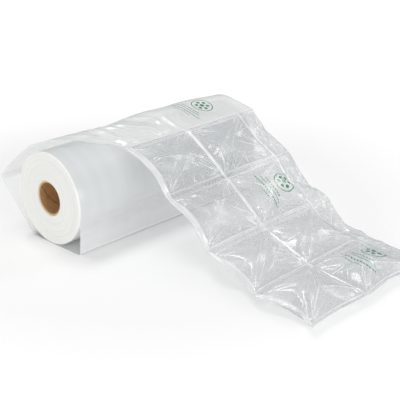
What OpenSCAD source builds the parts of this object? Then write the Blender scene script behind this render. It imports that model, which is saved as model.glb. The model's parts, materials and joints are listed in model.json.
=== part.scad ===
// Roll of air pillow film: clear film wound on a paper core, with a slack length drawn off over
// the top of the roll and four rows of inflated pillows lying in front of it. Millimetres.
// The origin is the centre of the core's bore. +X runs along the roll, away from the open end.
// +Z is up, and the pillows lie towards -Y.

/* [Core] */
// Inside diameter of the paper core
bore_d = 50.8; // [25:0.1:80]
// Wall of the paper core
core_wall = 3; // [1:0.1:6]
// How far each end of the core stands back inside the film's ends
core_inset = 2; // [0.5:0.1:6]

/* [Roll] */
// Outside diameter of the wound film
roll_d = 150; // [120:1:190]
// Width of the flat film, and so length of the roll
film_w = 406; // [300:1:600]
// Width of the flat spot that the soft roll rests on
flat_w = 16; // [4:1:30]
// Bands of turns that show on each end face
turn_bands = 9; // [3:1:14]
// How far a band of turns stands back from its neighbour
turn_step = 0.6; // [0.1:0.1:1.5]

/* [Drawn film] */
// Thickness that stands for the two plies of film
web_t = 0.6; // [0.3:0.1:1.5]
// How far the slack bend stands out behind the roll
slack_out = 55; // [30:1:80]
// Rise of the drawn film over the top of the roll
top_rise = 18; // [12:1:40]
// Height of the gathers where the film narrows
gather_h = 5; // [0:0.5:10]
// Gathers across the film where it narrows
gathers = 5; // [2:1:7]

/* [Pillows] */
// Length of one row of pillows along the film
row_pitch = 114; // [80:1:140]
// Thickness of an inflated cell
pillow_h = 36; // [16:1:44]
// How much narrower the film gets where it is inflated
narrowing = 103; // [40:1:140]
// Flat seal along the near edge
near_seal_w = 10; // [4:0.5:16]
// Flat seal between the two cells of a row
mid_seal_w = 7; // [3:0.5:14]
// Flat seal beyond the far cell
far_seal_w = 5; // [3:0.5:12]
// Loose skirt of single film beyond the far seal
skirt_w = 36; // [10:1:60]
// Flat strip at each end of a row, beside its tear line
strip_l = 6; // [3:0.5:12]
// How far inflation pulls the edges in between two tear lines
edge_pull = 9; // [0:0.5:14]
// Distance in front of the roll's axis at which the pillows reach the floor
foot_y = 296; // [250:1:360]
// Sideways drift of the last row against the first one
drift = 60; // [0:1:80]

/* [Hidden] */

ROWS = 4;
ROUND = 96;
END_CHAMFER = 1.2;
CUT = 1;
LIFT = 0.3;
SPAN_STEP = 14;
BEND_STEPS = 7;
CELL_STEPS_X = 12;
CELL_STEPS_Y = 13;
SKIRT_STEPS = 4;
WEB_COLUMNS = 14;

film_color = [0.90, 0.92, 0.93];
clear_color = [0.80, 0.87, 0.92];
pillow_color = [0.86, 0.90, 0.92];
paper_color = [0.62, 0.42, 0.24];

bore_r = bore_d / 2;
core_r = bore_r + core_wall;
core_l = film_w - 2 * core_inset;
roll_r = roll_d / 2;
flat_z = -sqrt(roll_r * roll_r - flat_w * flat_w / 4);
floor_z = flat_z - web_t;
chain_w = film_w - narrowing;
near_x = -film_w / 2;
far_x = film_w / 2;
row_z = floor_z + 0.44 * pillow_h;

// The side view of the drawn film as corners [y, z, bend radius]: down the front of the roll,
// under it, out into the slack bend, back over the top and down to the floor in front.
corners = [
    [-roll_r - LIFT - web_t / 2, 0, 0],
    [-0.96 * roll_r, floor_z + web_t / 2, 6],
    [0.62 * roll_r, floor_z + web_t / 2, 10],
    [roll_r + slack_out, 0.07 * roll_r, 7],
    [0.25 * roll_r, roll_r + top_rise, 60],
    [-roll_r, 0.93 * roll_r, 90],
    [-foot_y, row_z, 110],
    [-foot_y - ROWS * row_pitch, row_z, 0]
];

function unit(v) = v / norm(v);
function clamp01(t) = min(1, max(0, t));
function smooth(t) = let (c = clamp01(t)) c * c * (3 - 2 * c);
function heading(v) = let (a = atan2(v[1], v[0])) a < -95 ? a + 360 : a;
function yz(c) = [c[0], c[1]];

// Points along one rounded corner
function bend(i) =
    let (
        here = yz(corners[i]),
        back = unit(yz(corners[i - 1]) - here),
        ahead = unit(yz(corners[i + 1]) - here),
        half = acos(back * ahead) / 2,
        r = corners[i][2],
        centre = here + unit(back + ahead) * r / sin(half),
        a0 = heading(-back),
        a1 = heading(ahead),
        side = a1 > a0 ? -90 : 90
    )
    [for (k = [0:BEND_STEPS])
        let (a = a0 + (a1 - a0) * k / BEND_STEPS + side)
        centre + r * [cos(a), sin(a)]];

// The whole side view as a list of points
last = len(corners) - 1;
bends = [for (i = [1:last - 1]) bend(i)];
function stretch(a, b) =
    let (n = max(1, round(norm(b - a) / SPAN_STEP)))
    [for (k = [1:1:n - 1]) a + (b - a) * k / n];
route = concat(
    [yz(corners[0])],
    stretch(yz(corners[0]), bends[0][0]),
    [for (i = [0:last - 2])
        each concat(
            bends[i],
            stretch(bends[i][BEND_STEPS], i < last - 2 ? bends[i + 1][0] : yz(corners[last]))
        )],
    [yz(corners[last])]
);

function run_to(pts, i = 1, sum = 0) =
    i >= len(pts) ? [] : let (s = sum + norm(pts[i] - pts[i - 1])) concat([s], run_to(pts, i + 1, s));
run = concat([0], run_to(route));
route_y = [for (i = [0:len(route) - 1]) [run[i], route[i][0]]];
route_z = [for (i = [0:len(route) - 1]) [run[i], route[i][1]]];
route_a = [for (i = [0:len(route) - 1])
    let (i0 = max(0, i - 1), i1 = min(len(route) - 1, i + 1))
    [run[i], heading(route[i1] - route[i0])]];

// Length along the film at which the web ends and the first row starts
function first_ahead(i, y) = route[i][0] < y && run[i] > run_top ? i : first_ahead(i + 1, y);
top_i = [for (i = [0:len(route) - 1]) if (route[i][1] > roll_r && route[i][0] < roll_r) i][0];
run_top = run[top_i];
web_end_i = first_ahead(top_i, -0.85 * roll_r);
web_end = run[web_end_i];

// Near and far edges of the film at a length along it
function narrowed(s) = smooth((s - run_top) / (web_end - run_top));
function sideways(s) = -drift * smooth((s - web_end) / (ROWS * row_pitch));
function edge_near(s) = near_x + narrowing * narrowed(s) + sideways(s);
function edge_far(s) = far_x + sideways(s);

// A point on the film at length s and place x, lifted by h on the outer side
function on_film(s, x, h) =
    let (a = lookup(s, route_a))
    [x, lookup(s, route_y) + h * sin(a), lookup(s, route_z) - h * cos(a)];

// A closed sheet between two grids of points, the outer one and the inner one
module closed_sheet(outer, inner) {
    rows = len(outer);
    cols = len(outer[0]);
    n = rows * cols;
    pts = concat([for (r = outer) each r], [for (r = inner) each r]);
    function at(i, j) = i * cols + j;
    top = [for (i = [0:rows - 2], j = [0:cols - 2])
        each [[at(i, j), at(i + 1, j + 1), at(i + 1, j)], [at(i, j), at(i, j + 1), at(i + 1, j + 1)]]];
    under = [for (f = top) [f[2] + n, f[1] + n, f[0] + n]];
    rim = concat(
        [for (j = [0:cols - 1]) at(0, j)],
        [for (i = [1:rows - 1]) at(i, cols - 1)],
        [for (j = [1:cols - 1]) at(rows - 1, cols - 1 - j)],
        [for (i = [1:1:rows - 2]) at(rows - 1 - i, 0)]
    );
    m = len(rim);
    walls = [for (k = [0:m - 1])
        let (p = rim[k], q = rim[(k + 1) % m])
        each [[p, q + n, q], [p, p + n, q + n]]];
    polyhedron(pts, concat(top, under, walls), convexity = 10);
}

// Spiral wound paper tube
module core() {
    color(paper_color)
    rotate([0, 90, 0])
    difference() {
        cylinder(h = core_l, r = core_r, center = true, $fn = ROUND);
        cylinder(h = core_l + 2 * CUT, r = bore_r, center = true, $fn = ROUND);
    }
}

// One end of the wound film's half section: bands of turns that stand back by turns
function band_x(k) = film_w / 2 - turn_step * (k % 2) - (k == 0 ? 0.5 * turn_step : 0);
band_w = (roll_r - END_CHAMFER - core_r) / turn_bands;
half_end = [for (k = [0:turn_bands - 1])
    each [[core_r + k * band_w, band_x(k)], [core_r + (k + 1) * band_w, band_x(k)]]];
outer_x = band_x(turn_bands - 1) - END_CHAMFER;

// All the turns of film as one ring, flat where it rests
module wound_film() {
    color(film_color)
    difference() {
        rotate([0, 90, 0])
        rotate_extrude($fn = ROUND)
        polygon(concat(
            half_end,
            [[roll_r, outer_x], [roll_r, -outer_x]],
            [for (k = [len(half_end) - 1:-1:0]) [half_end[k][0], -half_end[k][1]]]
        ));
        translate([-film_w / 2 - CUT, -flat_w, flat_z - roll_r])
        cube([film_w + 2 * CUT, 2 * flat_w, roll_r]);
    }
}

// Lift of the gathers: they grow from the top of the roll and end at the first seal
function gather(s, u) =
    let (t = clamp01((s - run_top) / (web_end - run_top)))
    gather_h * sin(180 * t) * (0.5 - 0.5 * cos(360 * gathers * u)) * (0.4 + 0.6 * u);

// The flat film between the roll and the first row
module film_web() {
    stations = [for (i = [0:web_end_i]) run[i]];
    columns = [for (j = [0:WEB_COLUMNS]) j / WEB_COLUMNS];
    function x_at(s, u) = edge_near(s) + (edge_far(s) - edge_near(s)) * u;
    color(clear_color)
    closed_sheet(
        [for (s = stations) [for (u = columns) on_film(s, x_at(s, u), web_t / 2 + gather(s, u))]],
        [for (s = stations) [for (u = columns) on_film(s, x_at(s, u), -web_t / 2 + gather(s, u))]]
    );
}

// Places across a row, measured from its near edge
cell_w = (chain_w - near_seal_w - mid_seal_w - far_seal_w - skirt_w) / 2;
cell_1 = near_seal_w;
cell_2 = near_seal_w + cell_w + mid_seal_w;
skirt_x = cell_2 + cell_w + far_seal_w;
cell_l = row_pitch - 2 * strip_l;
across = concat(
    [0],
    [for (k = [0:CELL_STEPS_X]) cell_1 + cell_w * spread(k / CELL_STEPS_X)],
    [for (k = [0:CELL_STEPS_X]) cell_2 + cell_w * spread(k / CELL_STEPS_X)],
    [for (k = [0:SKIRT_STEPS]) skirt_x + skirt_w * k / SKIRT_STEPS]
);
along = concat(
    [0],
    [for (k = [0:CELL_STEPS_Y]) strip_l + cell_l * spread(k / CELL_STEPS_Y)],
    [row_pitch]
);

// Steps that are closer together near the seals
function spread(t) = 0.6 * t + 0.2 * (1 - cos(180 * t));

// Fullness of a cell, 0 at its seals and 1 at its crown, with folds that run in from the seals
function dome(a) = pow(max(0, 1 - pow(abs(a), 2.2)), 0.6);
function fold(a, b) =
    let (rim = pow(abs(a), 3) * (1 - pow(abs(b), 4)))
    1 - 0.22 * rim * (0.5 - 0.5 * cos(540 * (b + 1)));
function fullness(a, b) = dome(a) * dome(b) * fold(a, b) * fold(b, a);
function cell_at(x, y, x0) =
    let (a = 2 * (x - x0) / cell_w - 1, b = 2 * (y - strip_l) / cell_l - 1)
    (abs(a) >= 1 || abs(b) >= 1) ? 0 : fullness(a, b);
function lift_at(x, y) = web_t / 2 + (pillow_h - web_t) / 2 * (cell_at(x, y, cell_1) + cell_at(x, y, cell_2));

// The loose skirt ripples along its outer edge
function ripple(x, y, row) =
    x <= skirt_x ? 0 : 5 * (x - skirt_x) / skirt_w * sin(360 * 2 * y / row_pitch + 70 * row) * sin(180 * y / row_pitch);

// Edges pulled in by the inflated cells
function pulled(x, y) =
    let (t = x / chain_w, bow = edge_pull * sin(180 * y / row_pitch))
    x + bow * (1 - 2 * t);

function on_row(x, y, side, row) =
    let (
        s = web_end + row * row_pitch + y,
        p = on_film(s, edge_near(s) + pulled(x, y), side * lift_at(x, y) + ripple(x, y, row))
    )
    [p[0], p[1], max(p[2], floor_z + (side > 0 ? web_t : 0))];

// One row of two cells, from tear line to tear line
module pillow_row(row) {
    color(pillow_color)
    closed_sheet(
        [for (y = along) [for (x = across) on_row(x, y, 1, row)]],
        [for (y = along) [for (x = across) on_row(x, y, -1, row)]]
    );
}

core();
wound_film();
film_web();
pillow_row(0);  // pillow_row_1
pillow_row(1);  // pillow_row_2
pillow_row(2);  // pillow_row_3
pillow_row(3);  // pillow_row_4
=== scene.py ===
import json
import math

import bpy
import numpy as np
from bpy.props import FloatProperty, FloatVectorProperty, IntProperty, PointerProperty
from mathutils import Matrix, Vector


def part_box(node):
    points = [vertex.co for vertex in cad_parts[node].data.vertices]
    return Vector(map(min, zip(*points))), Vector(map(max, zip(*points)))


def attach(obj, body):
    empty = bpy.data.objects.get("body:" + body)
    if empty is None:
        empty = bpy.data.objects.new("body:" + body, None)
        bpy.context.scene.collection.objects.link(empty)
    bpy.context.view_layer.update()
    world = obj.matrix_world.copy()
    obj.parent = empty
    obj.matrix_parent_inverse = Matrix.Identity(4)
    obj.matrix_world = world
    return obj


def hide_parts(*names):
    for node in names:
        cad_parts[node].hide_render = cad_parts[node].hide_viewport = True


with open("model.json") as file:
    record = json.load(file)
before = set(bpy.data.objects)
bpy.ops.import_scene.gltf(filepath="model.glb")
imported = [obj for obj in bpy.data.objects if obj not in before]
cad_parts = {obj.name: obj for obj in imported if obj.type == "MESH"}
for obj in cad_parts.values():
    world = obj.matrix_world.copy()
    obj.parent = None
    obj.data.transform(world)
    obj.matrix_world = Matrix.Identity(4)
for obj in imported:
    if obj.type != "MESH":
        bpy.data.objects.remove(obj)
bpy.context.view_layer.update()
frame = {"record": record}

bl_info = {
    "name": "Air pillow film roll",
    "version": (1, 0, 0),
    "blender": (4, 5, 0),
    "location": "3D View > Sidebar > Film roll",
    "description": "Dresses a roll of air pillow film: paper core, wound film, drawn film and pillows",
    "category": "Add Mesh",
}

# Sizes of the solids, in metres
ROLL_LOW, ROLL_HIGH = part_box("wound_film")
CORE_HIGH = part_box("core")[1]
WEB_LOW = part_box("film_web")[0]
LAST_LOW, LAST_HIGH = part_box("pillow_row_4")
BORE_R = frame["record"]["mounts"][0]["dims"]["r_mm"] / 1000
ROLL_R = ROLL_HIGH.z
CORE_R = CORE_HIGH.z
FLAT_Z = ROLL_LOW.z
FLOOR_Z = WEB_LOW.z
FILM_W = ROLL_HIGH.x - ROLL_LOW.x
SHEET_T = FLAT_Z - FLOOR_Z
ROW_PITCH = LAST_HIGH.y - LAST_LOW.y
ROWS = 4

# How the film lies, in metres, as in the part's own source
SLACK_OUT = 0.055
TOP_RISE = 0.018
PILLOW_H = 0.036
NARROWING = 0.103
DRIFT = 0.060
FOOT_Y = 0.296
EDGE_PULL = 0.009
# Width from the near edge over which the drawn film is gathered, and how fast that grows
GATHERED = 0.30
GATHERING_POWER = 1.5
LIFT = 0.0003
NEAR_SEAL_W = 0.010
MID_SEAL_W = 0.007
FAR_SEAL_W = 0.005
SKIRT_W = 0.036
STRIP_L = 0.006
CHAIN_W = FILM_W - NARROWING
CELL_W = (CHAIN_W - NEAR_SEAL_W - MID_SEAL_W - FAR_SEAL_W - SKIRT_W) / 2
CELL_1 = NEAR_SEAL_W
CELL_2 = NEAR_SEAL_W + CELL_W + MID_SEAL_W
SKIRT_X = CELL_2 + CELL_W + FAR_SEAL_W
CELL_L = ROW_PITCH - 2 * STRIP_L - 0.002
CELL_CORNER_R = 0.007
ROW_Z = FLOOR_Z + 0.44 * PILLOW_H

# Side view of the drawn film as corners (y, z, bend radius)
CORNERS = [
    (-ROLL_R - LIFT - SHEET_T / 2, 0, 0),
    (-0.96 * ROLL_R, FLOOR_Z + SHEET_T / 2, 0.006),
    (0.62 * ROLL_R, FLOOR_Z + SHEET_T / 2, 0.010),
    (ROLL_R + SLACK_OUT, 0.07 * ROLL_R, 0.007),
    (0.25 * ROLL_R, ROLL_R + TOP_RISE, 0.060),
    (-ROLL_R, 0.93 * ROLL_R, 0.090),
    (-FOOT_Y, ROW_Z, 0.110),
    (-FOOT_Y - ROWS * ROW_PITCH, ROW_Z, 0),
]

# Camera of the photograph
FRAME_PX = 400
FOCAL_PX = 900
SENSOR_MM = 36
CAMERA_PLACE = (-0.97427, -1.07076, 0.52635)
CAMERA_AHEAD = (0.66693, 0.64269, -0.37703)

# The cloth is run this many times as large as the film, with these stiffnesses
SIM_SCALE = 10
FILM_TENSION = 40
FILM_SHEAR = 8
FILM_BENDING = 0.3
FILM_DAMPING = 5
# How far the cut of the pillows' film strays in metres, and how often those strays are blurred
UNEVEN = 0.004
UNEVEN_BLUR = 24
# Passes that take the finest wrinkles out of a run, and how far each moves a point
CALMING = 8
CALMING_SHARE = 0.6
# Seeds of the random draws
TURNS_SEED = 11
PILLOW_SEED = 7
# Creases that run into each cell from its seams, longer ones from its corners, and
# short ones in the loose far edge of each row
SEAM_CREASES = 16
CORNER_CREASES = 4
EDGE_CREASES = 12
CREASE_SLOPE = 0.065
# A crease is highest at this share of its way, and fades in over this much beside a seam
CREASE_PEAK = 0.22
CREASE_FADE = 0.005
# Milky film scatters most of the light that it stops, so its shadow is only a share of it
DRAWN_SHADOW = 0.12
PILLOW_SHADOW = 0.45
# Haze of one ply that lies flat and faces the eye
DRAWN_HAZE = 0.46
PILLOW_HAZE = 0.27


class FilmSizes(bpy.types.PropertyGroup):
    """Sizes that shape the soft film."""

    ply_gap: FloatProperty(
        name="Ply gap", description="Half the gap between the two plies where they lie flat",
        default=0.0003, unit="LENGTH")
    grid: FloatProperty(
        name="Pillow grid", description="Spacing of the points that the inflated film is run with",
        default=0.0027, unit="LENGTH")
    web_grid: FloatProperty(
        name="Film grid", description="Spacing of the points that the drawn film is run with",
        default=0.0027, unit="LENGTH")
    pressure: FloatProperty(
        name="Pressure", description="Air pressure in the pillows, for the cloth run", default=15.0)
    spare: FloatProperty(
        name="Spare film", description="How much longer the flat film is than its place", default=1.10)
    frames: IntProperty(name="Frames", description="Steps of each cloth run", default=24)


class FilmColours(bpy.types.PropertyGroup):
    """Colours of the roll."""

    film: FloatVectorProperty(
        name="Pillow film", description="Haze of the pillows' film", subtype="COLOR", size=4,
        default=(0.56, 0.58, 0.59, 1))
    drawn: FloatVectorProperty(
        name="Drawn film", description="Haze of the drawn film", subtype="COLOR", size=4,
        default=(0.75, 0.76, 0.76, 1))
    # Lighter film where it is folded or sealed: partly the real whitening of folded and doubled film,
    # partly a painted highlight; on the low front of the drawn film it is painted light
    crease: FloatVectorProperty(
        name="Creases", description="Film where it is folded or sealed", subtype="COLOR", size=4,
        default=(0.88, 0.89, 0.90, 1))
    printing: FloatVectorProperty(
        name="Print", description="Ink of the printed marks", subtype="COLOR", size=4,
        default=(0.01, 0.22, 0.10, 1))
    # The side's cooler, darker grey against the end face is partly the film's own tone, partly a painted
    # reflection and painted shade
    turns: FloatVectorProperty(
        name="Wound film", description="Many turns of film on the core", subtype="COLOR", size=4,
        default=(0.66, 0.68, 0.68, 1))
    turns_edge: FloatVectorProperty(
        name="Turn edges", description="End face of the wound film", subtype="COLOR", size=4,
        default=(0.83, 0.83, 0.79, 1))
    paper: FloatVectorProperty(
        name="Paper", description="Kraft paper of the core", subtype="COLOR", size=4,
        default=(0.46, 0.25, 0.10, 1))
    floor: FloatVectorProperty(
        name="Floor", description="Floor and backdrop", subtype="COLOR", size=4,
        default=(0.90, 0.90, 0.90, 1))


def smooth(t):
    c = np.clip(t, 0, 1)
    return c * c * (3 - 2 * c)


def heading(y, z):
    """Angle of a step along the film, with no jump on the way round the roll."""
    a = np.arctan2(z, y)
    return np.where(a < -math.radians(95), a + 2 * math.pi, a)


def film_route(samples=1600, bend_steps=24):
    """Side view of the drawn film as arrays of length, y, z and heading."""
    points = [np.array(CORNERS[0][:2])]
    for before, here, after in zip(CORNERS, CORNERS[1:], CORNERS[2:]):
        corner = np.array(here[:2])
        back = np.array(before[:2]) - corner
        ahead = np.array(after[:2]) - corner
        back /= np.linalg.norm(back)
        ahead /= np.linalg.norm(ahead)
        half = math.acos(back @ ahead) / 2
        middle = (back + ahead) / np.linalg.norm(back + ahead)
        centre = corner + middle * here[2] / math.sin(half)
        a0 = heading(-back[0], -back[1])
        a1 = heading(ahead[0], ahead[1])
        side = -math.pi / 2 if a1 > a0 else math.pi / 2
        for k in range(bend_steps + 1):
            a = a0 + (a1 - a0) * k / bend_steps + side
            points.append(centre + here[2] * np.array([math.cos(a), math.sin(a)]))
    points.append(np.array(CORNERS[-1][:2]))
    points = np.array(points)
    run = np.concatenate([[0], np.cumsum(np.linalg.norm(np.diff(points, axis=0), axis=1))])
    s = np.linspace(0, run[-1], samples)
    y = np.interp(s, run, points[:, 0])
    z = np.interp(s, run, points[:, 1])
    return s, y, z, heading(np.gradient(y), np.gradient(z))


ROUTE_S, ROUTE_Y, ROUTE_Z, ROUTE_A = film_route()
RUN_TOP = ROUTE_S[np.argmax((ROUTE_Z > ROLL_R) & (ROUTE_Y < ROLL_R))]
WEB_END = ROUTE_S[np.argmax((ROUTE_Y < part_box("pillow_row_1")[1].y) & (ROUTE_S > RUN_TOP))]


def sideways(s):
    return -DRIFT * smooth((s - WEB_END) / (ROWS * ROW_PITCH))


def edge_near(s):
    return -FILM_W / 2 + NARROWING * smooth((s - RUN_TOP) / (WEB_END - RUN_TOP)) + sideways(s)


def edge_far(s):
    return FILM_W / 2 + sideways(s)


def on_film(s, x, lift=0.0):
    """Points on the film at length s and place x, lifted on its outer side."""
    a = np.interp(s, ROUTE_S, ROUTE_A)
    return np.stack([
        x,
        np.interp(s, ROUTE_S, ROUTE_Y) + lift * np.sin(a),
        np.interp(s, ROUTE_S, ROUTE_Z) - lift * np.cos(a),
    ], axis=-1)


def web_across(s, w):
    """Place of the drawn film's point w along X, gathered more and more toward its near edge."""
    ungathered = edge_far(s) - (FILM_W - w)
    narrowed = edge_near(s) - (edge_far(s) - FILM_W)
    return ungathered + narrowed * np.clip(1 - w / GATHERED, 0, 1) ** GATHERING_POWER


def soft_noise(rng, shape, passes):
    """Even random values blurred over a few grid points, with a spread of one."""
    values = rng.normal(size=shape)
    for _ in range(passes):
        wide = np.pad(values, 1, mode="edge")
        values = (wide[2:, 1:-1] + wide[:-2, 1:-1] + wide[1:-1, 2:] + wide[1:-1, :-2] + values) / 5
    return values / values.std()


def calmed(grid, kept):
    """The grid without wrinkles as fine as its own steps; kept points stay where they are."""
    start = grid
    for _ in range(CALMING):
        wide = np.pad(grid, ((1, 1), (1, 1), (0, 0)), mode="reflect", reflect_type="odd")
        around = (wide[2:, 1:-1] + wide[:-2, 1:-1] + wide[1:-1, 2:] + wide[1:-1, :-2]) / 4
        grid = np.where(kept[..., None], start, grid + CALMING_SHARE * (around - grid))
    return grid


def finer(grid):
    """The grid with a point between each two, smoothed as a subdivided mesh is."""
    for axis in (0, 1):
        lines = np.swapaxes(grid, 0, axis)
        made = np.empty((2 * lines.shape[0] - 1, *lines.shape[1:]))
        made[::2] = lines
        made[2:-2:2] = (lines[:-2] + 6 * lines[1:-1] + lines[2:]) / 8
        made[1::2] = (lines[:-1] + lines[1:]) / 2
        grid = np.swapaxes(made, 0, axis)
    return grid


def tent(rng, spots, foot, aim, share):
    """Heights of one straight crease from its foot toward a point, over a share of the way."""
    way = aim - foot
    ahead = way / np.linalg.norm(way)
    length = np.linalg.norm(way) * rng.uniform(*share)
    slope = CREASE_SLOPE * rng.uniform(0.4, 1.2) * rng.choice([1, 1, -1])
    far = (spots - foot) @ ahead / length
    off = np.abs((spots - foot) @ np.array([-ahead[1], ahead[0]]))
    width = np.maximum((0.0032 + 0.11 * length) * (0.4 + far), 1e-5)
    rise = np.clip(np.minimum(far / CREASE_PEAK, (1 - far) / (1 - CREASE_PEAK)), 0, 1)
    return slope * length * rise * np.clip(1 - off / width, 0, 1)


def crossed(rng, spots, lines):
    """Heights of many creases, of which the highest and the deepest show where they cross."""
    ridge = np.zeros(len(spots))
    valley = np.zeros(len(spots))
    for foot, aim, share in lines:
        height = tent(rng, spots, foot, aim, share)
        ridge = np.maximum(ridge, height)
        valley = np.minimum(valley, height)
    return ridge + valley


def rim_spot(around, size):
    """The point at a share of the way round a rectangle."""
    wide, long = size
    run = around * 2 * (wide + long)
    if run < wide:
        return np.array([run, 0.0])
    if run < wide + long:
        return np.array([wide, run - wide])
    if run < 2 * wide + long:
        return np.array([2 * wide + long - run, long])
    return np.array([0.0, 2 * (wide + long) - run])


def outward(s):
    """Unit vector to the film's outer side at length s."""
    a = np.interp(s, ROUTE_S, ROUTE_A)
    return np.stack([np.zeros_like(a), np.sin(a), -np.cos(a)], axis=-1)


def deselect():
    for piece in bpy.context.selected_objects:
        piece.select_set(False)


def mesh_piece(name, points, faces):
    """A new mesh object in the scene."""
    mesh = bpy.data.meshes.new(name)
    mesh.from_pydata(np.asarray(points).tolist(), [], faces)
    mesh.update()
    piece = bpy.data.objects.new(name, mesh)
    bpy.context.scene.collection.objects.link(piece)
    return piece


def settle(points, faces, pins, inflated, flat, pressure, frames):
    """Runs cloth on a mesh made ten times as large and returns where its points come to rest.

    pins holds each point's pin weight, inflated the points that air presses on, and flat the
    film's cut shape, which gives the springs their lengths.
    """
    film = mesh_piece("cloth_run", points * SIM_SCALE, faces)
    film.shape_key_add(name="Basis")
    cut = film.shape_key_add(name="Cut")
    cut.data.foreach_set("co", (flat * SIM_SCALE).astype(np.float32).ravel())
    held = film.vertex_groups.new(name="held")
    for k in np.nonzero(pins > 0)[0]:
        held.add([int(k)], float(pins[k]), "REPLACE")
    air = film.vertex_groups.new(name="air")
    air.add([int(k) for k in np.nonzero(inflated)[0]], 1.0, "REPLACE")
    cloth = film.modifiers.new("cloth", "CLOTH")
    use = cloth.settings
    use.quality = 5
    use.mass = 0.3
    use.tension_stiffness = FILM_TENSION
    use.compression_stiffness = FILM_TENSION * 0.7
    use.shear_stiffness = FILM_SHEAR
    use.bending_stiffness = FILM_BENDING
    use.tension_damping = FILM_DAMPING
    use.compression_damping = FILM_DAMPING
    use.shear_damping = FILM_DAMPING
    use.bending_damping = 0.5
    use.air_damping = 2
    use.vertex_group_mass = held.name
    use.pin_stiffness = 1
    use.rest_shape_key = cut
    use.effector_weights.gravity = 0
    if pressure > 0:
        use.use_pressure = True
        use.uniform_pressure_force = pressure
        use.vertex_group_pressure = air.name
    cloth.collision_settings.use_collision = False
    cloth.point_cache.frame_start = 1
    cloth.point_cache.frame_end = frames
    for frame_number in range(1, frames + 1):
        bpy.context.scene.frame_set(frame_number)
    evaluated = film.evaluated_get(bpy.context.evaluated_depsgraph_get())
    rest = np.empty(len(points) * 3, np.float32)
    evaluated.data.vertices.foreach_get("co", rest)
    mesh = film.data
    bpy.data.objects.remove(film)
    bpy.data.meshes.remove(mesh)
    bpy.context.scene.frame_set(1)
    return rest.reshape(-1, 3).astype(float) / SIM_SCALE


def grid_faces(ids):
    """Faces of a grid of point numbers, facing the film's outer side."""
    return [
        (int(ids[i, j]), int(ids[i + 1, j]), int(ids[i + 1, j + 1]), int(ids[i, j + 1]))
        for i in range(ids.shape[0] - 1) for j in range(ids.shape[1] - 1)
    ]


def rim_faces(ids, under):
    """Faces that close two grids of point numbers along their four edges."""
    ring = list(ids[0, :]) + list(ids[1:, -1]) + list(ids[-1, -2::-1]) + list(ids[-2:0:-1, 0])
    low = list(under[0, :]) + list(under[1:, -1]) + list(under[-1, -2::-1]) + list(under[-2:0:-1, 0])
    n = len(ring)
    return [
        (int(ring[k]), int(ring[(k + 1) % n]), int(low[(k + 1) % n]), int(low[k])) for k in range(n)
    ]


def bending(grid):
    """How sharply a grid of points bends at each point, 0 to 1."""
    wide = np.pad(grid, ((1, 1), (1, 1), (0, 0)), mode="edge")
    middle = (wide[2:, 1:-1] + wide[:-2, 1:-1] + wide[1:-1, 2:] + wide[1:-1, :-2]) / 4
    amount = np.linalg.norm(middle - grid, axis=-1)
    amount[[0, -1], :] = 0
    amount[:, [0, -1]] = 0
    step = np.linalg.norm(np.diff(grid, axis=1), axis=-1).mean()
    return np.clip(amount / step / 0.16, 0, 1)


def film_piece(name, outer, inner, across, along):
    """A closed piece of film between its outer and inner ply, with its flat place and its creases."""
    rows, cols = across.shape
    n = rows * cols
    ids = np.arange(n).reshape(rows, cols)
    faces = grid_faces(ids) + [f[::-1] for f in grid_faces(ids + n)] + rim_faces(ids, ids + n)
    piece = mesh_piece(name, np.concatenate([outer.reshape(-1, 3), inner.reshape(-1, 3)]), faces)
    mesh = piece.data
    place = np.tile(np.stack([across, along], axis=-1).reshape(-1, 2), (2, 1))
    corner_point = np.empty(len(mesh.loops), np.int32)
    mesh.loops.foreach_get("vertex_index", corner_point)
    mesh.uv_layers.new(name="film_place")
    mesh.uv_layers[0].data.foreach_set("uv", place[corner_point].astype(np.float32).ravel())
    crease = mesh.attributes.new("crease", "FLOAT", "POINT")
    crease.data.foreach_set(
        "value", np.concatenate([bending(outer), bending(inner)]).astype(np.float32).ravel())
    side = mesh.attributes.new("outer_ply", "FLOAT", "POINT")
    side.data.foreach_set("value", np.repeat([1.0, 0.0], n).astype(np.float32))
    mesh.polygons.foreach_set("use_smooth", np.ones(len(mesh.polygons), bool))
    return piece


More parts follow.
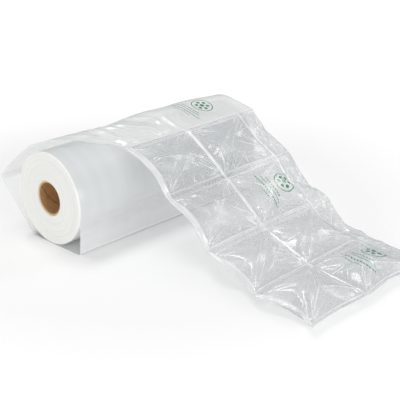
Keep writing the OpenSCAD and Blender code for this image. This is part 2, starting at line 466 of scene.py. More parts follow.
class Shade:
    """Adds nodes to a material or a group with few words."""

    def __init__(self, tree):
        self.tree = tree

    def node(self, kind, **settings):
        made = self.tree.nodes.new(kind)
        for key, value in settings.items():
            setattr(made, key, value)
        return made

    def feed(self, socket, value):
        if isinstance(value, bpy.types.NodeSocket):
            self.tree.links.new(value, socket)
        else:
            socket.default_value = value

    def math(self, operation, a, b=0.0, c=0.0, clamp=False):
        made = self.node("ShaderNodeMath", operation=operation, use_clamp=clamp)
        for socket, value in zip(made.inputs, (a, b, c)):
            self.feed(socket, value)
        return made.outputs[0]

    def add(self, a, b):
        return self.math("ADD", a, b)

    def times(self, a, b):
        return self.math("MULTIPLY", a, b)

    def band(self, value, low, high, soft):
        """1 where value is between low and high, with soft edges."""
        up = self.node("ShaderNodeMapRange", interpolation_type="SMOOTHSTEP")
        down = self.node("ShaderNodeMapRange", interpolation_type="SMOOTHSTEP")
        for made, edge, start, end in ((up, low, 0, 1), (down, high, 1, 0)):
            self.feed(made.inputs["Value"], value)
            made.inputs["From Min"].default_value = edge - soft
            made.inputs["From Max"].default_value = edge + soft
            made.inputs["To Min"].default_value = start
            made.inputs["To Max"].default_value = end
        return self.times(up.outputs[0], down.outputs[0])

    def noise(self, vector, scale, detail=2.0, roughness=0.5, distortion=0.0):
        made = self.node("ShaderNodeTexNoise")
        self.feed(made.inputs["Vector"], vector)
        made.inputs["Scale"].default_value = scale
        made.inputs["Detail"].default_value = detail
        made.inputs["Roughness"].default_value = roughness
        made.inputs["Distortion"].default_value = distortion
        return made.outputs["Fac"]

    def stretch(self, vector, scale):
        made = self.node("ShaderNodeMapping")
        self.feed(made.inputs["Vector"], vector)
        made.inputs["Scale"].default_value = scale
        return made.outputs[0]

    def remap(self, value, low, high, to_low, to_high):
        made = self.node("ShaderNodeMapRange")
        self.feed(made.inputs["Value"], value)
        for key, number in zip(("From Min", "From Max", "To Min", "To Max"), (low, high, to_low, to_high)):
            made.inputs[key].default_value = number
        return made.outputs[0]

    def split(self, vector):
        made = self.node("ShaderNodeSeparateXYZ")
        self.feed(made.inputs[0], vector)
        return made.outputs

    def bump(self, shader, height, strength, distance):
        made = self.node("ShaderNodeBump")
        made.inputs["Strength"].default_value = strength
        made.inputs["Distance"].default_value = distance
        self.feed(made.inputs["Height"], height)
        self.feed(shader.inputs["Normal"], made.outputs[0])

    def mix(self, factor, a, b):
        made = self.node("ShaderNodeMix", data_type="RGBA")
        self.feed(made.inputs["Factor"], factor)
        colours = [s for s in made.inputs if s.type == "RGBA"]
        self.feed(colours[0], a)
        self.feed(colours[1], b)
        return [s for s in made.outputs if s.type == "RGBA"][0]


def new_group(name, inputs, outputs):
    """A shader node group with named inputs and outputs."""
    tree = bpy.data.node_groups.new(name, "ShaderNodeTree")
    for key, kind in inputs:
        tree.interface.new_socket(name=key, in_out="INPUT", socket_type=kind)
    for key, kind in outputs:
        tree.interface.new_socket(name=key, in_out="OUTPUT", socket_type=kind)
    shade = Shade(tree)
    return tree, shade, shade.node("NodeGroupInput"), shade.node("NodeGroupOutput")


def fold_group():
    """Sharp folds of thin film at two sizes, from its flat place."""
    tree, shade, into, out = new_group(
        "Film folds",
        [("Place", "NodeSocketVector")],
        [("Height", "NodeSocketFloat"), ("Ridge", "NodeSocketFloat")],
    )
    place = into.outputs["Place"]
    shift = shade.node("ShaderNodeVectorMath", operation="SCALE")
    wander = shade.node("ShaderNodeTexNoise")
    shade.feed(wander.inputs["Vector"], place)
    wander.inputs["Scale"].default_value = 45
    wander.inputs["Detail"].default_value = 1
    shade.feed(shift.inputs[0], wander.outputs["Color"])
    shift.inputs["Scale"].default_value = 0.014
    bent = shade.node("ShaderNodeVectorMath", operation="ADD")
    shade.feed(bent.inputs[0], place)
    shade.feed(bent.inputs[1], shift.outputs[0])
    heights = []
    for scale, feature in ((30, "F1"), (85, "F1"), (30, "DISTANCE_TO_EDGE")):
        cells = shade.node("ShaderNodeTexVoronoi", voronoi_dimensions="2D", feature=feature)
        shade.feed(cells.inputs["Vector"], bent.outputs[0])
        cells.inputs["Scale"].default_value = scale
        heights.append(cells.outputs["Distance"])
    wide, fine, edge = heights
    shade.feed(out.inputs["Height"], shade.add(wide, shade.times(fine, 0.16)))
    shade.feed(out.inputs["Ridge"], shade.remap(edge, 0.0, 0.05, 1.0, 0.0))
    return tree


def seal_group():
    """Masks of the seals and of the film beside them, from the place across and along."""
    tree, shade, into, out = new_group(
        "Film seals",
        [("Across", "NodeSocketFloat"), ("Along", "NodeSocketFloat")],
        [
            ("Near band", "NodeSocketFloat"), ("Seal lines", "NodeSocketFloat"),
            ("Strip", "NodeSocketFloat"), ("Beside", "NodeSocketFloat"), ("Skirt", "NodeSocketFloat"),
        ],
    )
    across = into.outputs["Across"]
    row = shade.math("WRAP", shade.math("SUBTRACT", into.outputs["Along"], WEB_END), ROW_PITCH, 0.0)
    near = shade.band(across, -0.01, NEAR_SEAL_W + 0.001, 0.0006)
    edge = shade.band(across, NEAR_SEAL_W - 0.0012, NEAR_SEAL_W + 0.0012, 0.0006)
    middle = shade.band(across, CELL_1 + CELL_W, CELL_2, 0.0012)
    far = shade.band(across, CELL_2 + CELL_W, SKIRT_X, 0.0012)
    first = shade.band(row, STRIP_L - 0.0011, STRIP_L + 0.0011, 0.0007)
    second = shade.band(row, ROW_PITCH - STRIP_L - 0.0011, ROW_PITCH - STRIP_L + 0.0011, 0.0007)
    inside = shade.band(across, NEAR_SEAL_W, SKIRT_X, 0.001)
    ends = shade.times(shade.math("MAXIMUM", first, second), inside)
    lines = shade.math("MAXIMUM", shade.math("MAXIMUM", middle, far), shade.math("MAXIMUM", ends, edge))
    strip = shade.math("SUBTRACT", 1.0, shade.band(row, STRIP_L, ROW_PITCH - STRIP_L, 0.001))
    half_row = ROW_PITCH / 2
    from_middle = shade.math("ABSOLUTE", shade.math("SUBTRACT", row, half_row))
    from_ends = shade.math("SUBTRACT", half_row, from_middle)
    by_ends = shade.remap(from_ends, 0.004, 0.034, 1.0, 0.0)
    by_seams = None
    for seam in (NEAR_SEAL_W, CELL_1 + CELL_W + MID_SEAL_W / 2, CELL_2 + CELL_W):
        from_seam = shade.math("ABSOLUTE", shade.math("SUBTRACT", across, seam))
        here = shade.remap(from_seam, 0.004, 0.030, 1.0, 0.0)
        by_seams = here if by_seams is None else shade.math("MAXIMUM", by_seams, here)
    corner = shade.times(by_ends, by_seams)
    beside = shade.math("MAXIMUM", by_ends, shade.times(by_seams, 0.55))
    beside = shade.math("ADD", beside, shade.times(corner, 1.1))
    shade.feed(out.inputs["Near band"], near)
    shade.feed(out.inputs["Seal lines"], lines)
    shade.feed(out.inputs["Strip"], strip)
    shade.feed(out.inputs["Beside"], beside)
    shade.feed(out.inputs["Skirt"], shade.remap(across, SKIRT_X - 0.002, SKIRT_X + 0.006, 0.0, 1.0))
    return tree


def print_group():
    """Mask of the printed mark: a ring with six dots round a seventh, and four bars beside it."""
    tree, shade, into, out = new_group(
        "Printed mark",
        [("Across", "NodeSocketFloat"), ("Along", "NodeSocketFloat")],
        [("Ink", "NodeSocketFloat")],
    )
    mark_x = 0.755 * CHAIN_W
    mark_y = 1.52 * ROW_PITCH
    ring_r = 0.0190
    dot_at = 0.0102
    u = shade.math("SUBTRACT", into.outputs["Across"], mark_x)
    v = shade.math(
        "WRAP", shade.math("SUBTRACT", into.outputs["Along"], WEB_END + mark_y), ROW_PITCH, -ROW_PITCH)
    far_from = shade.math("SQRT", shade.add(shade.times(u, u), shade.times(v, v)))
    ring = shade.band(far_from, ring_r - 0.0009, ring_r + 0.0009, 0.0003)
    sixth = shade.times(shade.math("ARCTAN2", v, u), 6 / (2 * math.pi))
    folded = shade.times(shade.math("SUBTRACT", shade.math("FRACT", sixth), 0.5), 2 * math.pi / 6)
    dot_u = shade.math("SUBTRACT", shade.times(far_from, shade.math("COSINE", folded)), dot_at)
    dot_v = shade.times(far_from, shade.math("SINE", folded))
    from_dot = shade.math("SQRT", shade.add(shade.times(dot_u, dot_u), shade.times(dot_v, dot_v)))
    dots = shade.band(from_dot, -1, 0.0034, 0.0003)
    centre = shade.band(far_from, -1, 0.0042, 0.0003)
    ink = shade.math("MAXIMUM", ring, shade.math("MAXIMUM", dots, centre))
    dash = shade.band(shade.math("WRAP", v, 0.0056, 0.0), -1, 0.0040, 0.0003)
    for place, half, thick, dashed in (
        (-0.0290, 0.022, 0.0011, True), (-0.0360, 0.030, 0.0007, False),
        (-0.0450, 0.036, 0.0013, True), (-0.0525, 0.020, 0.0008, True),
    ):
        bar = shade.band(shade.math("SUBTRACT", u, place), -thick, thick, 0.0003)
        bar = shade.times(bar, shade.band(v, -half, half, 0.0004))
        ink = shade.math("MAXIMUM", ink, shade.times(bar, dash) if dashed else bar)
    shade.feed(out.inputs["Ink"], ink)
    return tree


GROUPS = {}


def placed_group(shade, key, maker):
    if key not in GROUPS:
        GROUPS[key] = maker()
    made = shade.node("ShaderNodeGroup")
    made.node_tree = GROUPS[key]
    return made


def new_material(name):
    made = bpy.data.materials.new(name)
    made.use_nodes = True
    tree = made.node_tree
    shader = tree.nodes["Principled BSDF"]
    return made, Shade(tree), shader


def film_material(name, colour, haze, sealed):
    """Clear film: haze, folds that catch the light and get a painted highlight, seals and print, and
    painted light on the drawn film's low front.
    """
    colours = bpy.context.scene.film_colours
    made, shade, shader = new_material(name)
    place = shade.node("ShaderNodeUVMap", uv_map="film_place").outputs[0]
    across, along, _ = shade.split(place)
    crease = shade.node("ShaderNodeAttribute", attribute_name="crease").outputs["Fac"]
    outer = shade.node("ShaderNodeAttribute", attribute_name="outer_ply").outputs["Fac"]
    facing = shade.node("ShaderNodeLayerWeight")
    facing.inputs["Blend"].default_value = 0.35
    spot = shade.node("ShaderNodeTexCoord").outputs["Object"]
    cloud = shade.noise(spot, 14, 3)
    long_folds = shade.noise(shade.stretch(place, (80, 17, 1)), 1.0, 1, 0.5, 0.5)

    marks = placed_group(shade, "print", print_group)
    shade.feed(marks.inputs["Across"], across)
    shade.feed(marks.inputs["Along"], along)
    ink = shade.times(marks.outputs["Ink"], outer)
    folds = placed_group(shade, "folds", fold_group)
    shade.feed(folds.inputs["Place"], place)
    ridge = folds.outputs["Ridge"]

    # Bends are whiter and denser: partly the real whitening of folded film, partly a painted highlight
    # along the folds
    folded = shade.math("POWER", crease, 1.5)
    white = shade.times(folded, 0.8)
    alpha = shade.add(haze, shade.times(shade.math("SUBTRACT", cloud, 0.5), 0.14))
    alpha = shade.add(alpha, shade.times(facing.outputs["Facing"], 0.36))
    alpha = shade.add(alpha, shade.times(folded, 0.45))
    if sealed:
        seals = placed_group(shade, "seals", seal_group)
        shade.feed(seals.inputs["Across"], across)
        shade.feed(seals.inputs["Along"], along)
        near = seals.outputs["Near band"]
        lines = shade.times(seals.outputs["Seal lines"], shade.remap(cloud, 0.35, 0.6, 0.4, 1.0))
        strip = seals.outputs["Strip"]
        skirt = seals.outputs["Skirt"]
        beside = seals.outputs["Beside"]
        amount = shade.add(0.20, shade.add(shade.times(beside, 0.38), shade.times(skirt, 0.7)))
        alpha = shade.add(alpha, shade.times(near, shade.remap(long_folds, 0.35, 0.6, 0.08, 0.38)))
        alpha = shade.add(alpha, shade.times(lines, 0.16))
        alpha = shade.math("SUBTRACT", alpha, shade.times(strip, 0.12))
        alpha = shade.add(alpha, shade.times(skirt, 0.05))
        alpha = shade.add(alpha, shade.times(shade.times(ridge, shade.math("MINIMUM", amount, 1.0)), 0.11))
        # The near seal band is whitened partly as doubled, sealed film and partly as a painted highlight;
        # the seal lines are whitened as sealed film
        white = shade.math("MAXIMUM", white, shade.math("MAXIMUM", shade.times(near, 0.8), lines))
        wavy = shade.add(across, shade.times(cloud, 0.02))
        gather = shade.math("SINE", shade.times(wavy, 2 * math.pi / 0.0085))
        height = shade.add(shade.times(folds.outputs["Height"], amount), shade.times(long_folds, 0.10))
        height = shade.add(height, shade.times(shade.times(gather, strip), 0.07))
    else:
        height = shade.add(shade.times(folds.outputs["Height"], 0.14), shade.times(long_folds, 0.30))
        lead = shade.remap(along, 0.0, 0.045, 0.0, 1.0)
        alpha = shade.times(alpha, lead)
        # Painted light: the low front of the drawn film is made lighter and a little denser, standing in
        # for light that passes through the milky film round the roll's foot
        low = shade.band(along, 0.035, 0.20, 0.02)
        alpha = shade.add(alpha, shade.times(low, 0.10))
        white = shade.math("MAXIMUM", white, shade.times(low, 0.6))
        alpha = shade.math("SUBTRACT", alpha, shade.times(shade.band(along, 0.21, 0.37, 0.04), 0.15))
        behind = shade.node("ShaderNodeNewGeometry").outputs["Backfacing"]
        from_inside = shade.math("MAXIMUM", behind, shade.math("SUBTRACT", 1.0, outer))
        alpha = shade.times(alpha, shade.remap(from_inside, 0.0, 1.0, 1.2, 0.35))
    alpha = shade.math("MAXIMUM", alpha, shade.times(ink, 0.95), clamp=True)
    in_shadow = shade.node("ShaderNodeLightPath").outputs["Is Shadow Ray"]
    share = PILLOW_SHADOW if sealed else DRAWN_SHADOW
    alpha = shade.times(alpha, shade.remap(in_shadow, 0.0, 1.0, 1.0, share))
    shade.feed(shader.inputs["Alpha"], alpha)
    # Base colour lightened toward the crease colour: real whitening of folded and sealed film, plus
    # painted highlight and painted light
    tint = shade.mix(white, tuple(colour), tuple(colours.crease))
    shade.feed(shader.inputs["Base Color"], shade.mix(ink, tint, tuple(colours.printing)))
    shade.feed(shader.inputs["Roughness"], shade.remap(cloud, 0.3, 0.7, 0.14, 0.24))
    shader.inputs["IOR"].default_value = 1.7
    shader.inputs["Specular IOR Level"].default_value = 0.8
    shade.bump(shader, height, 1.0, 0.0034)
    return made


def turns_material():
    """Milky wound film: rings of turns on the end faces, fine bands along the side."""
    colours = bpy.context.scene.film_colours
    made, shade, shader = new_material("wound_film_milky")
    spot = shade.node("ShaderNodeTexCoord").outputs["Object"]
    x, y, z = shade.split(spot)
    radius = shade.math("SQRT", shade.add(shade.times(y, y), shade.times(z, z)))
    end = shade.band(shade.math("ABSOLUTE", x), ROLL_HIGH.x - 0.0035, 1, 0.0008)
    rings = shade.node("ShaderNodeTexNoise", noise_dimensions="1D")
    shade.feed(rings.inputs["W"], radius)
    rings.inputs["Scale"].default_value = 420
    rings.inputs["Detail"].default_value = 3
    ring = rings.outputs["Fac"]
    side = shade.noise(shade.stretch(spot, (60, 1, 1)), 1.2, 2)
    warm = shade.remap(ring, 0.3, 0.7, 0.0, 1.0)
    # The end face is lighter and warmer than the side: partly its film edges scattering more, partly
    # painted light; the side's cool grey is partly the film's own tone, partly a painted reflection of the
    # surroundings and painted shade
    face = shade.mix(warm, tuple(colours.turns_edge), (0.90, 0.90, 0.88, 1))
    wall = shade.mix(shade.remap(side, 0.35, 0.65, 0, 0.5), tuple(colours.turns), (0.60, 0.63, 0.64, 1))
    shade.feed(shader.inputs["Base Color"], shade.mix(end, wall, face))
    shade.feed(shader.inputs["Roughness"], shade.add(0.28, shade.times(end, 0.2)))
    shader.inputs["Coat Weight"].default_value = 0.25
    shader.inputs["Coat Roughness"].default_value = 0.12
    height = shade.add(shade.times(shade.times(ring, end), 1.0), shade.times(side, 0.12))
    shade.bump(shader, height, 0.5, 0.0006)
    return made


def paper_material():
    """Kraft board wound as a spiral, with its seam and its fibres."""
    colours = bpy.context.scene.film_colours
    made, shade, shader = new_material("kraft_board")
    spot = shade.node("ShaderNodeTexCoord").outputs["Object"]
    x, y, z = shade.split(spot)
    turn = shade.times(shade.math("ARCTAN2", z, y), 1 / (2 * math.pi))
    seam = shade.math("FRACT", shade.add(shade.times(x, 1 / 0.095), turn))
    line = shade.band(seam, -0.02, 0.012, 0.006)
    fibre = shade.noise(shade.stretch(spot, (220, 700, 700)), 1.0, 4, 0.65)
    cloud = shade.noise(spot, 60, 2)
    tone = shade.add(shade.times(fibre, 0.7), shade.times(cloud, 0.5))
    colour = shade.mix(
        shade.remap(tone, 0.4, 0.8, 0.0, 1.0), tuple(c * 0.62 for c in colours.paper[:3]) + (1,),
        tuple(min(1, c * 1.25) for c in colours.paper[:3]) + (1,))
    colour = shade.mix(line, colour, (0.10, 0.05, 0.025, 1))
    rim = shade.band(shade.math("ABSOLUTE", x), CORE_HIGH.x - 0.0008, 1, 0.0003)
    shade.feed(shader.inputs["Base Color"], shade.mix(rim, colour, (0.62, 0.42, 0.22, 1)))
    shade.feed(shader.inputs["Roughness"], shade.remap(fibre, 0.3, 0.7, 0.72, 0.92))
    shade.bump(shader, shade.math("SUBTRACT", tone, shade.times(line, 1.5)), 0.6, 0.0006)
    return made


def lathe(name, profile, segments=192):
    """A ring turned about X: a circle extruded and resized from one profile point to the next."""
    deselect()
    x0, r0 = profile[0]
    bpy.ops.mesh.primitive_circle_add(
        vertices=segments, radius=r0, location=(x0, 0, 0), rotation=(0, math.pi / 2, 0))
    piece = bpy.context.object
    piece.name = name
    piece.data.name = name
    bpy.ops.object.transform_apply(location=True, rotation=True, scale=True)
    bpy.ops.object.mode_set(mode="EDIT")
    bpy.ops.mesh.select_all(action="SELECT")
    for (x1, r1), (x2, r2) in zip(profile, profile[1:]):
        bpy.ops.mesh.extrude_edges_move(TRANSFORM_OT_translate={"value": (x2 - x1, 0, 0)})
        if abs(r2 - r1) > 1e-9:
            k = r2 / r1
            bpy.ops.transform.resize(value=(1, k, k), center_override=(0, 0, 0))
    bpy.ops.mesh.select_all(action="SELECT")
    bpy.ops.mesh.remove_doubles(threshold=1e-6)
    bpy.ops.mesh.normals_make_consistent(inside=False)
    bpy.ops.object.mode_set(mode="OBJECT")
    for face in piece.data.polygons:
        face.use_smooth = True
    deselect()
    return piece


def own_material(piece, material):
    piece.data.materials.clear()
    piece.data.materials.append(material)


class FILM_OT_core_tube(bpy.types.Operator):
    """The paper tube, with soft rims and its inner wall."""

    bl_idname = "film.core_tube"
    bl_label = "Core tube"

    def execute(self, context):
        half = CORE_HIGH.x
        soft = 0.0005
        rim = [
            (half - soft, CORE_R), (half, CORE_R - soft), (half, BORE_R + soft), (half - soft, BORE_R)
        ]
        profile = rim + [(-x, r) for x, r in reversed(rim)] + [rim[0]]
        piece = lathe("core_tube", profile, 128)
        own_material(piece, paper_material())
        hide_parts("core")
        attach(piece, "root")
        return {"FINISHED"}


class FILM_OT_turns(bpy.types.Operator):
    """All the turns of film, with their bands on the end faces and the flat spot below."""

    bl_idname = "film.turns"
    bl_label = "Wound film"

    def execute(self, context):
        rng = np.random.default_rng(TURNS_SEED)
        soft = 0.0011
        bands = 30
        inner, outer = CORE_R, ROLL_R - soft
        depths = np.cumsum(rng.normal(0, 0.00016, bands))
        depths = np.clip(depths - depths.mean(), -0.0005, 0.0005) + 0.0006
        end = []
        width = (outer - inner) / bands
        for k, depth in enumerate(depths):
            low = inner + k * width
            end.append((ROLL_HIGH.x - depth, low + 0.12 * width))
            end.append((ROLL_HIGH.x - depth, low + 0.88 * width))
        end[0] = (end[0][0], inner)
        for a in (20, 45, 70, 90):
            t = math.radians(a)
            end.append((ROLL_HIGH.x - depths[-1] - soft * (1 - math.cos(t)), outer + soft * math.sin(t)))
        side = [(x, ROLL_R) for x in np.linspace(end[-1][0], -end[-1][0], 26)[1:-1]]
        profile = end + side + [(-x, r) for x, r in reversed(end)] + [end[0]]
        piece = lathe("film_turns", profile, 256)
        for point in piece.data.vertices:
            around = math.atan2(point.co.z, point.co.y)
            radius = math.hypot(point.co.y, point.co.z)
            if abs(point.co.x) > ROLL_HIGH.x - 0.003 and radius > inner + 0.001:
                point.co.x += math.copysign(0.00012, point.co.x) * math.sin(3 * around + 400 * radius)
            point.co.z = max(point.co.z, FLAT_Z)
        own_material(piece, turns_material())
        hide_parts("wound_film")
        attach(piece, "root")
        return {"FINISHED"}


def clear_of_roll(grid, gap):
    """Moves points out of the roll, apart from those under its flat spot."""
    radius = np.hypot(grid[..., 1], grid[..., 2])
    beside = np.abs(grid[..., 0]) < ROLL_HIGH.x + 0.002
    low = beside & (radius < ROLL_R + gap)
    push = np.where(low, (ROLL_R + gap) / np.maximum(radius, 1e-6), 1.0)
    under = beside & (np.abs(grid[..., 1]) < 0.012) & (grid[..., 2] < 0)
    push = np.where(under, 1.0, push)
    grid[..., 1] *= push
    grid[..., 2] *= push
    return grid


class FILM_OT_drawn_film(bpy.types.Operator):
    """The slack flat film that passes under, behind and over the roll."""

    bl_idname = "film.drawn_film"
    bl_label = "Drawn film"

    def execute(self, context):
        sizes = context.scene.film_sizes
        rows = round(WEB_END / sizes.web_grid)
        cols = round(FILM_W / sizes.web_grid)
        w, s = np.meshgrid(np.linspace(0, FILM_W, cols + 1), np.linspace(0, WEB_END, rows + 1))
        x = web_across(s, w)
        t = np.clip((s - RUN_TOP) / (WEB_END - RUN_TOP), 0, 1)
        u = w / FILM_W
        drift = 0.30 * np.sin(2 * math.pi * (2.3 * u + 1.1 * t))
        drift += 0.18 * np.sin(2 * math.pi * (5.1 * u - t))
        near = 1 - smooth((w - 0.16) / 0.18)
        ends = 1 - smooth((s - WEB_END + 0.012) / 0.010)
        gathers = 0.0017 * smooth(t / 0.7) * near * ends * np.sin(2 * math.pi * (w / 0.036 + drift))
        slack = 0.0022 * np.sin(2 * math.pi * (1.3 * u + s / 0.31)) * smooth((s - 0.19) / 0.05)
        slack += 0.0010 * np.sin(2 * math.pi * (3.1 * u - s / 0.13)) * smooth((s - 0.16) / 0.05)
        slack *= 1 - smooth((s - WEB_END + 0.04) / 0.04)
        hang = np.exp(-(((s - 0.042) / 0.020) ** 2))
        billow = 0.6 * np.sin(2 * math.pi * 2.2 * u) + 0.4 * np.sin(2 * math.pi * 5.3 * u + 1)
        slack += 0.0026 * hang * billow
        points = on_film(s, x, gathers + slack)
        flat = np.stack([w * 1.006, s * 1.012, np.zeros_like(s)], axis=-1)
        pins = np.full(s.shape, 0.06)
        pins[s < 0.07] = 0.3
        pins[(points[..., 2] < FLOOR_Z + 0.004)] = 1.0
        pins[:2, :] = 1.0
        pins[-1, :] = 1.0
        ids = np.arange(s.size).reshape(s.shape)
        rest = settle(
            points.reshape(-1, 3), grid_faces(ids), pins.ravel(), np.zeros(s.size, bool),
            flat.reshape(-1, 3), 0, sizes.frames,
        ).reshape(points.shape)
        rest = clear_of_roll(rest, 0.0008)
        normal = outward(s)
        gap = sizes.ply_gap
        outer = rest + normal * gap
        inner = rest - normal * gap
        for ply in (outer, inner):
            ply[..., 2] = np.maximum(ply[..., 2], FLOOR_Z + 0.0001)
        piece = film_piece("drawn_film", outer, inner, w - (FILM_W - CHAIN_W), s)
        colour = context.scene.film_colours.drawn
        own_material(piece, film_material("drawn_film_clear", colour, DRAWN_HAZE, False))
        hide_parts("film_web")
        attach(piece, "root")
        return {"FINISHED"}


class FILM_OT_pillows(bpy.types.Operator):
    """The four rows of inflated pillows, run as one film and parted at the tear lines."""

    bl_idname = "film.pillows"
    bl_label = "Pillow rows"

    def execute(self, context):
        sizes = context.scene.film_sizes
        per_row = round(ROW_PITCH / sizes.grid)
        cols = round(CHAIN_W / sizes.grid)
        places_u = np.linspace(0, CHAIN_W, cols + 1)
        places_v = np.linspace(0, ROWS * ROW_PITCH, ROWS * per_row + 1)
        u, v = np.meshgrid(places_u, places_v)
        in_row = np.mod(np.arange(v.shape[0]), per_row)[:, None] * ROW_PITCH / per_row + 0 * u
        in_cell = self.cell(u, in_row, CELL_1) | self.cell(u, in_row, CELL_2)
        s = WEB_END + v
        x = edge_near(s) + u + EDGE_PULL * np.sin(math.pi * in_row / ROW_PITCH) * (1 - 2 * u / CHAIN_W)
        flat_film = on_film(s, x)
        normal = outward(s)
        part = np.where(in_cell, 0.002, 0.0)[..., None]
        top = np.arange(s.size).reshape(s.shape)
        under = top.copy()
        under[in_cell] = s.size + np.arange(in_cell.sum())
        upper = (flat_film + normal * part).reshape(-1, 3)
        points = np.concatenate([upper, (flat_film - normal * part)[in_cell]])
        skirt = smooth((u - SKIRT_X) / SKIRT_W)
        cut = np.stack([u * sizes.spare, v * (sizes.spare + 0.06 * skirt), np.zeros_like(s)], axis=-1)
        rng = np.random.default_rng(PILLOW_SEED)
        for axis in (0, 1):
            cut[..., axis] += UNEVEN * soft_noise(rng, s.shape, UNEVEN_BLUR) * (1 + 0.6 * skirt)
        cut = np.concatenate([cut.reshape(-1, 3), cut[in_cell]])
        under_faces = [
            f[::-1] for f in grid_faces(under) if max(f) >= s.size
        ]
        pins = np.where(in_cell, 0.0, 0.3)
        pins[u > SKIRT_X + 0.006] = 0.03
        pins[u < 0.6 * NEAR_SEAL_W] = 0.12
        pins[0, :] = 1.0
        pins = np.concatenate([pins.ravel(), np.zeros(in_cell.sum())])
        air = np.concatenate([in_cell.ravel(), np.ones(in_cell.sum(), bool)])
        rest = settle(points, grid_faces(top) + under_faces, pins, air, cut, sizes.pressure, sizes.frames)
        gap = sizes.ply_gap
        u, s = finer(u), finer(s)
        per_row *= 2
        in_row = np.mod(np.arange(s.shape[0]), per_row)[:, None] * ROW_PITCH / per_row + 0 * u
        normal = outward(s)
        middle = calmed((rest[top] + rest[under]) / 2, np.zeros(top.shape, bool))
        half = calmed((rest[top] - rest[under]) / 2, ~in_cell)
        plies = []
        for side in (1, -1):
            creases = self.creases(rng, u, in_row, s)[..., None]
            plies.append(finer(middle + side * half) + side * normal * (gap + creases))
        outer, inner = plies
        for ply, least in ((outer, 3 * gap), (inner, gap)):
            ply[..., 2] = np.maximum(ply[..., 2], FLOOR_Z + least)
        material = film_material("pillow_film_clear", context.scene.film_colours.film, PILLOW_HAZE, True)
        for row in range(ROWS):
            part_of = slice(row * per_row, (row + 1) * per_row + 1)
            piece = film_piece(
                f"pillows_{row + 1}", outer[part_of], inner[part_of], u[part_of], s[part_of])
            own_material(piece, material)
            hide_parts(f"pillow_row_{row + 1}")
            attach(piece, "root")
        return {"FINISHED"}

    @staticmethod
    def creases(rng, u, in_row, s):
        """Height of the creases that the film gets where its seams hold it short."""
        height = np.zeros(u.shape)
        size = np.array([CELL_W, CELL_L])
        edge_size = np.array([CHAIN_W - SKIRT_X, ROW_PITCH])
        for row in range(ROWS):
            in_this_row = (s >= WEB_END + row * ROW_PITCH) & (s < WEB_END + (row + 1) * ROW_PITCH)
            for start in (CELL_1, CELL_2):
                place = np.stack([u - start, in_row - (ROW_PITCH - CELL_L) / 2], axis=-1)
                inside = in_this_row & np.all((place > 0) & (place < size), axis=-1)
                lines = []
                for k in range(SEAM_CREASES):
                    foot = rim_spot((k + rng.uniform(0, 1)) / SEAM_CREASES, size)
                    lines.append((foot, size * rng.uniform(0.25, 0.75, 2), (0.30, 0.75)))
                for k in range(4 * CORNER_CREASES):
                    foot = size * (k % 2, k // 2 % 2)
                    lines.append((foot, size * rng.uniform(0.25, 0.75, 2), (0.5, 1.0)))
                spots = place[inside]
                rim = np.min(np.minimum(spots, size - spots), axis=-1)
                height[inside] += crossed(rng, spots, lines) * smooth(rim / CREASE_FADE)
            inside = in_this_row & (u > SKIRT_X)
            spots = np.stack([u[inside] - SKIRT_X, in_row[inside]], axis=-1)
            lines = [
                (*(rng.uniform(0, 1, (2, 2)) * edge_size), (0.5, 1.0)) for _ in range(EDGE_CREASES)
            ]
            rim = np.minimum(spots[:, 0], np.minimum(spots[:, 1], ROW_PITCH - spots[:, 1]))
            height[inside] += crossed(rng, spots, lines) * smooth(rim / CREASE_FADE)
        return height

    @staticmethod
    def cell(u, in_row, start):
        """Points inside a cell, with its rounded corners."""
        dx = np.minimum(u - start, start + CELL_W - u)
        dy = CELL_L / 2 - np.abs(in_row - ROW_PITCH / 2)
        near_corner = (dx < CELL_CORNER_R) & (dy < CELL_CORNER_R)
        outside_arc = (CELL_CORNER_R - dx) ** 2 + (CELL_CORNER_R - dy) ** 2 > CELL_CORNER_R**2
        return (dx > 0) & (dy > 0) & ~(near_corner & outside_arc)


def seen_straight(shade, path):
    """1 for rays from the camera, also through clear film."""
    return shade.math("MAXIMUM", path.outputs["Is Camera Ray"], path.outputs["Is Transmission Ray"])


def backdrop_material(colour):
    """Plain white floor: to the camera it is lifted to white, and its shadows stay."""
    made, shade, shader = new_material("studio_white")
    tree = made.node_tree
    path = shade.node("ShaderNodeLightPath")
    seen = seen_straight(shade, path)
    shade.feed(shader.inputs["Base Color"], shade.mix(seen, colour, (0.85, 0.85, 0.85, 1)))
    shader.inputs["Roughness"].default_value = 0.9
    shader.inputs["Specular IOR Level"].default_value = 0.0
    glow = shade.node("ShaderNodeEmission")
    glow.inputs["Color"].default_value = (1, 1, 1, 1)
    away = shade.node("ShaderNodeVectorMath", operation="LENGTH")
    shade.feed(away.inputs[0], shade.node("ShaderNodeTexCoord").outputs["Object"])
    lift = shade.remap(away.outputs["Value"], 0.40, 1.5, 0.08, 0.6)
    shade.feed(glow.inputs["Strength"], shade.times(seen, lift))
    both = shade.node("ShaderNodeAddShader")
    tree.links.new(shader.outputs[0], both.inputs[0])
    tree.links.new(glow.outputs[0], both.inputs[1])
    tree.links.new(both.outputs[0], tree.nodes["Material Output"].inputs["Surface"])
    return made


def add_lamp(name, place, aim, size, watts):
    """A rectangular lamp at a place, turned to a point."""
    lamp = bpy.data.lights.new(name, "AREA")
    lamp.energy = watts
    lamp.shape = "RECTANGLE"
    lamp.size, lamp.size_y = size
    held = bpy.data.objects.new(name, lamp)
    held.location = place
    held.rotation_euler = (Vector(aim) - Vector(place)).to_track_quat("-Z", "Y").to_euler()
    bpy.context.scene.collection.objects.link(held)
    return held


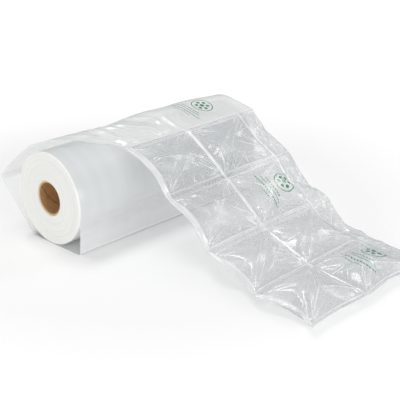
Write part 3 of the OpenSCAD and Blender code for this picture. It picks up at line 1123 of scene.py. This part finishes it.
class FILM_OT_stage(bpy.types.Operator):
    """Floor, studio light, world and the camera."""

    bl_idname = "film.stage"
    bl_label = "Stage"

    def execute(self, context):
        scene = context.scene
        deselect()
        bpy.ops.mesh.primitive_plane_add(size=14, location=(0, 0, FLOOR_Z - 0.0004))
        floor = context.object
        floor.name = "floor"
        bpy.ops.object.transform_apply(location=True)
        own_material(floor, backdrop_material(tuple(scene.film_colours.floor)))
        deselect()

        add_lamp("overhead", (-0.1, 0.6, 1.6), (0, -0.15, 0), (0.8, 0.5), 12)
        add_lamp("right_window", (1.35, -0.25, 1.35), (0, -0.2, 0), (0.7, 0.35), 3)
        add_lamp("left_window", (-1.7, -0.1, 0.30), (0, -0.1, 0), (0.9, 0.7), 6)
        add_lamp("front_fill", (0.1, -2.1, 0.5), (0, -0.1, 0), (1.8, 0.9), 21)

        world = bpy.data.worlds.new("studio")
        scene.world = world
        world.use_nodes = True
        shade = Shade(world.node_tree)
        back = world.node_tree.nodes["Background"]
        back.inputs["Color"].default_value = (1, 1, 1, 1)
        path = shade.node("ShaderNodeLightPath")
        seen = seen_straight(shade, path)
        plain = shade.remap(path.outputs["Is Glossy Ray"], 0, 1, 0.50, 0.30)
        strength = shade.math("MAXIMUM", plain, seen)
        shade.feed(back.inputs["Strength"], strength)

        camera = bpy.data.cameras.new("photo_camera")
        camera.sensor_width = SENSOR_MM
        camera.lens = FOCAL_PX / FRAME_PX * SENSOR_MM
        camera.clip_end = 30
        held = bpy.data.objects.new("photo_camera", camera)
        scene.collection.objects.link(held)
        ahead = Vector(CAMERA_AHEAD).normalized()
        right = ahead.cross(Vector((0, 0, 1))).normalized()
        up = right.cross(ahead)
        turned = Matrix((right, up, -ahead)).transposed().to_4x4()
        held.matrix_world = Matrix.Translation(CAMERA_PLACE) @ turned
        scene.camera = held
        scene.view_settings.view_transform = "Standard"
        return {"FINISHED"}


class FILM_PT_panel(bpy.types.Panel):
    """Lists the pieces of the roll."""

    bl_label = "Film roll"
    bl_idname = "FILM_PT_panel"
    bl_space_type = "VIEW_3D"
    bl_region_type = "UI"
    bl_category = "Film roll"

    def draw(self, context):
        for step in STEPS:
            self.layout.operator(step.bl_idname)
        for group in (context.scene.film_sizes, context.scene.film_colours):
            for key in group.__annotations__:
                self.layout.prop(group, key)


STEPS = (FILM_OT_stage, FILM_OT_core_tube, FILM_OT_turns, FILM_OT_drawn_film, FILM_OT_pillows)
CLASSES = (FilmSizes, FilmColours, *STEPS, FILM_PT_panel)


def register():
    for made in CLASSES:
        bpy.utils.register_class(made)
    bpy.types.Scene.film_sizes = PointerProperty(type=FilmSizes)
    bpy.types.Scene.film_colours = PointerProperty(type=FilmColours)


def unregister():
    del bpy.types.Scene.film_colours
    del bpy.types.Scene.film_sizes
    for made in reversed(CLASSES):
        bpy.utils.unregister_class(made)


def main():
    register()
    bpy.ops.film.stage()
    bpy.ops.film.core_tube()
    bpy.ops.film.turns()
    bpy.ops.film.drawn_film()
    bpy.ops.film.pillows()


if __name__ == "__main__":
    main()
